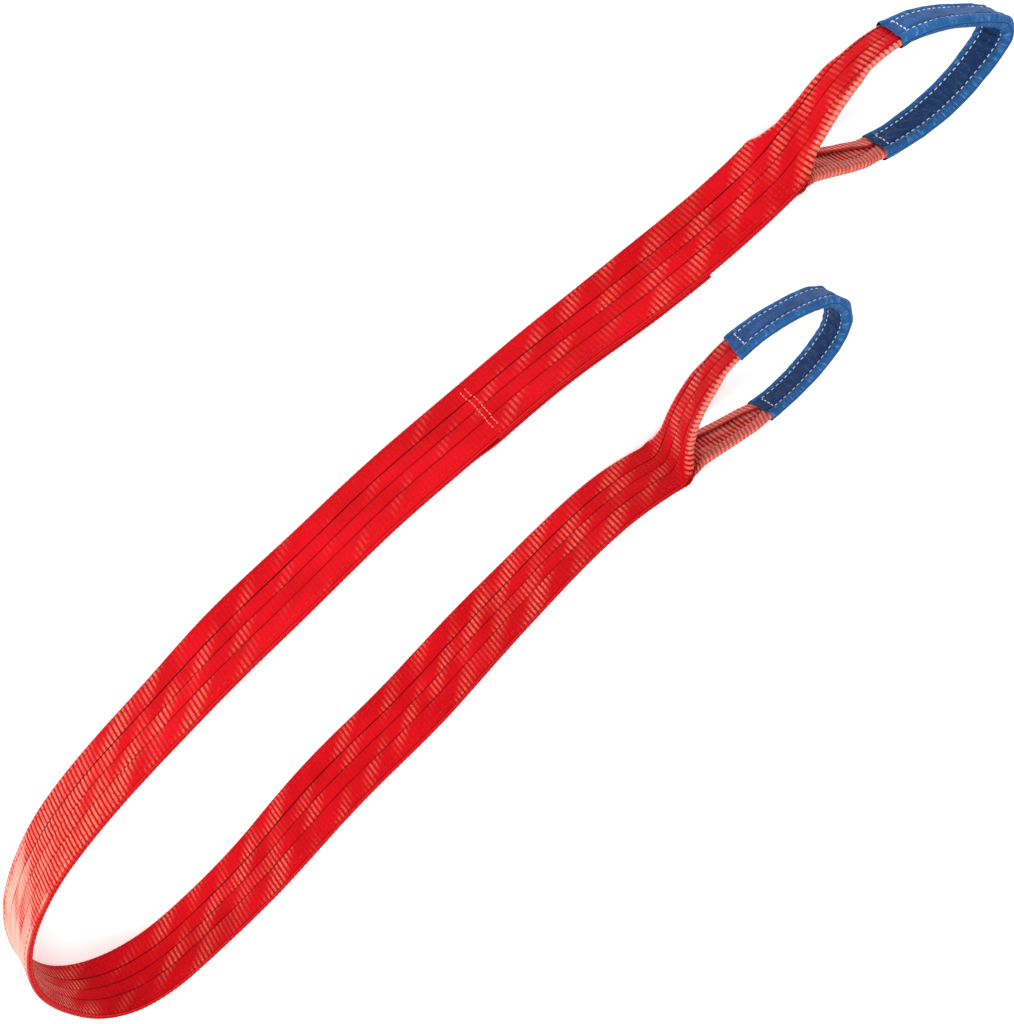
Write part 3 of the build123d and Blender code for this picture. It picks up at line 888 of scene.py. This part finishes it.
class Sleeve:
    """The cloth tube round an eye's folded web, placed by q along the eye, z, a face and a lift off it."""

    def __init__(self, name):
        self.name = name
        self.line = smoothed(eye_lines[name], SLEEVE_SMOOTHING)
        self.left = left_of(self.line)
        self.q = np.arange(len(self.line), dtype=float)
        front, back = SLEEVE_ENDS[name]
        self.start, self.end = front, len(self.line) - 1 - back
        angle = np.unwrap(np.arctan2(self.left[:, 1], self.left[:, 0]))
        self.curve = -np.convolve(np.gradient(angle), np.ones(CURVE_SPAN) / CURVE_SPAN, "same")
        self.seed = 1.0 if name == "near_eye" else 4.3
        self.skew = MOUTH_SKEW[name]

    def wrinkle(self, q, z, face):
        """How far the cloth stands off its smooth shape: pleats where it bends, and slack and creases."""
        tight = np.clip(np.interp(q, self.q, self.curve) / TIGHT_CURVE, 0, 1.2)
        k = self.seed
        inner = 1.3 * np.abs(np.sin(q / 4.1 + 0.05 * z + k)) + 0.9 * np.sin(q / 1.9 - 0.11 * z)
        inner = (face < 0) * tight * inner
        outer = (face > 0) * tight * 0.9 * np.sin(q / 3.3 + 0.06 * z * np.sin(q / 19.0) + k)
        slack = 0.55 * np.sin(q / 9.0 + z / 9.0 + k) * np.sin(z / 6.0 + q / 23.0 + k)
        slant = np.sin(q / 2.6 + z / 3.4 + 2.0 * np.sin(q / 31.0 + k))
        crease = 0.55 * slant * ease(np.sin(q / 37.0 + k) + 0.45) * (np.abs(z) < ROW_AT)
        held = 1 - 0.8 * np.exp(-((np.abs(z) - ROW_AT) / 2.5) ** 2)
        return np.maximum((inner + outer + slack + crease) * held, -0.6)

    def spot(self, q, z, face, lift):
        """Points of the sleeve's outside, and lift above it, in millimetres."""
        q, z, face, lift = np.broadcast_arrays(*(np.asarray(a, float) for a in (q, z, face, lift)))
        to_end = np.minimum(q - self.start, self.end - q)
        flare = MOUTH_FLARE * (1 - ease(to_end / MOUTH))
        from_edge = np.clip((SLEEVE_WIDTH / 2 - np.abs(z)) / 4.0, 0, 1)
        out = sleeve_thickness(z) + (flare + self.wrinkle(q, z, face)) * from_edge
        off = face * (np.maximum(out, 0.0) + lift)
        edge_wave = 0.5 * np.sin(q / 17.0 + self.seed + z / 40.0) + 0.25 * np.sin(q / 5.3 + 2 * self.seed)
        z = z * (1 + 0.012 * np.sin(q / 29.0 + self.seed)) + edge_wave * z / (SLEEVE_WIDTH / 2)
        near, far = (np.clip(1 - (a / SKEW_REACH), 0, 1) for a in (q - self.start, self.end - q))
        along = q + z / 50.0 * (self.skew[0] * near + self.skew[1] * far)
        x, y = (np.interp(along, self.q, self.line[:, i]) for i in (0, 1))
        left_x, left_y = (np.interp(along, self.q, self.left[:, i]) for i in (0, 1))
        x, y = x + off * left_x, y + off * left_y
        tilt = -EYE_LEAN[self.name] * z / WEB_WIDTH
        return np.stack([x, y + tilt, WEB_WIDTH / 2 + z], axis=-1)


def sleeve_ring():
    """Heights, faces and lifts round the tube, outside and inside."""
    half = SLEEVE_WIDTH / 2
    edge = list(-half + EDGE_ROUND * np.linspace(0.12, 1.0, 10) ** 2)
    face = edge + list(np.linspace(-half + 8.7, half - 8.7, 36)) + [-z for z in edge][::-1]
    z = np.array(face + face[::-1])
    side = np.array([1.0] * len(face) + [-1.0] * len(face))
    return z, side


def sleeve_piece(name, tube):
    """The tube's outside, a lip, its inside and the other lip, as rings that close on the first."""
    z, side = sleeve_ring()
    rows = np.arange(tube.start, tube.end + 0.1, SLEEVE_STEP)[:, None]
    outside = tube.spot(rows, z, side, 0.0)
    shrunk = z * (1 - SLEEVE_WALL / (SLEEVE_WIDTH / 2))
    inside = tube.spot(rows, shrunk, side, -SLEEVE_WALL)
    lip_rows = [0, len(rows) - 1]
    lips = [(outside[i] + inside[i]) / 2 + (outside[i] - outside[i + step]) * LIP
            for i, step in zip(lip_rows, (1, -1))]
    points = np.concatenate([outside, lips[1][None], inside[::-1], lips[0][None]])
    rows_all = np.concatenate([rows, rows[-1:], rows[::-1], rows[:1]])
    # the pattern's third part tells the outer face, 1, from the inner, -1, and from the tube's inside, 2
    face = np.concatenate([np.repeat(side[None], len(rows), axis=0), np.full((len(rows) + 2, len(z)), 2.0)])
    weave = np.stack(np.broadcast_arrays(rows_all, z + OTHER_FACE * (side < 0), face), axis=-1)
    return torus_object(name, points, weave, sleeve_cloth)


def torus_object(name, points, weave, material):
    """A closed mesh whose rings go round and back to the first."""
    rings, around = points.shape[:2]
    index = np.arange(rings * around).reshape(rings, around)
    after = np.roll(index, -1, axis=1)
    quads = np.stack([index, after, np.roll(after, -1, axis=0), np.roll(index, -1, axis=0)], axis=-1)
    mesh = bpy.data.meshes.new(name)
    mesh.from_pydata((points.reshape(-1, 3) * MM).tolist(), [], quads.reshape(-1, 4)[:, ::-1].tolist())
    return as_piece(name, mesh, weave, material)


for eye_name in eye_lines:
    tube = Sleeve(eye_name)
    piece = sleeve_piece(f"{eye_name}_sleeve_cloth", tube)
    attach(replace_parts(piece, f"{eye_name}_sleeve"), eye_name)
    pitch, length, width = SLEEVE_STITCH
    groups = []
    for face in (1.0, -1.0):
        def on_face(q, z, h, face=face):
            return tube.spot(q, z, face, h)
        q = np.arange(tube.start + LONG_ROW_START, tube.end - END_ROW, pitch)
        for z in (-ROW_AT, ROW_AT):
            groups.append(stitches(on_face, q, z, SLEEVE_SINK, length, width))
        z = (np.arange(END_STITCHES) - (END_STITCHES - 1) / 2) * pitch
        for q_end in (tube.start + END_ROW, tube.end - END_ROW):
            groups.append(stitches(on_face, q_end, z, SLEEVE_SINK, length, width, crosswise=True))
    threads = thread_piece(f"{eye_name}_sleeve_thread", groups, white_thread, "sleeve_thread")
    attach(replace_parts(threads, f"{eye_name}_sleeve_stitches"), eye_name)


# ---- floor, light and camera ----
FLOOR_REACH = 60.0              # metres
FLOOR_DROP = 0.0005
FLOOR_GLOW = 0.34
WORLD_LIGHT = 0.75
LAMPS = [                       # name, place and size in metres, power in watts
    ("key", (2.2, -1.3, 1.9), 1.4, 48.0),
    ("fill", (-0.9, -2.5, 1.9), 1.8, 22.0),
    ("front", (0.25, -2.0, 1.45), 0.5, 15.0),
    ("side", (2.2, 0.1, 0.5), 1.0, 11.0),
    ("top", (0.2, 0.6, 3.0), 2.5, 26.0),
]


def studio():
    """A plain pale floor, a pale world and five soft lamps that point at the origin."""
    mesh = bpy.data.meshes.new("floor")
    corners = [(x * FLOOR_REACH, y * FLOOR_REACH, 0) for x, y in ((-1, -1), (1, -1), (1, 1), (-1, 1))]
    mesh.from_pydata(corners, [], [(0, 1, 2, 3)])
    floor = bpy.data.objects.new("floor", mesh)
    bpy.context.collection.objects.link(floor)
    made, _, shader = new_material("floor")
    shader.inputs["Base Color"].default_value = (0.92, 0.92, 0.92, 1.0)
    shader.inputs["Roughness"].default_value = 0.9
    shader.inputs["Specular IOR Level"].default_value = 0.1
    shader.inputs["Emission Color"].default_value = WHITE
    shader.inputs["Emission Strength"].default_value = FLOOR_GLOW
    mesh.materials.append(made)
    floor.location.z = -FLOOR_DROP

    world = bpy.data.worlds.new("studio")
    world.use_nodes = True
    world.node_tree.nodes["Background"].inputs[0].default_value = WHITE
    world.node_tree.nodes["Background"].inputs[1].default_value = WORLD_LIGHT
    bpy.context.scene.world = world

    for name, place_at, size, power in LAMPS:
        light = bpy.data.lights.new(name, "AREA")
        light.size = size
        light.energy = power
        lamp = bpy.data.objects.new(name, light)
        lamp.location = place_at
        lamp.rotation_euler = (Vector((0, 0, 0)) - Vector(place_at)).to_track_quat("-Z", "Y").to_euler()
        bpy.context.collection.objects.link(lamp)


CAMERA_AT = (-0.0005, -1.6142, 1.2325)
CAMERA_PITCH = 36.55            # below level, looking along +Y
CAMERA_ROLL = 137.69            # about its own line of sight
FOCAL_PIXELS = 1954.0           # for a frame of FRAME_PIXELS
FRAME_PIXELS = 1024


def camera():
    """The camera that the photo was taken with, as far as the web's upright edges tell."""
    data = bpy.data.cameras.new("camera")
    data.sensor_width = 36.0
    data.lens = FOCAL_PIXELS * data.sensor_width / FRAME_PIXELS
    made = bpy.data.objects.new("camera", data)
    made.matrix_world = (Matrix.Translation(CAMERA_AT) @ Matrix.Rotation(radians(90 - CAMERA_PITCH), 4, "X")
                         @ Matrix.Rotation(radians(CAMERA_ROLL), 4, "Z"))
    bpy.context.collection.objects.link(made)
    bpy.context.scene.camera = made


studio()
camera()
bpy.context.scene.view_settings.view_transform = "Standard"

bpy.context.view_layer.update()
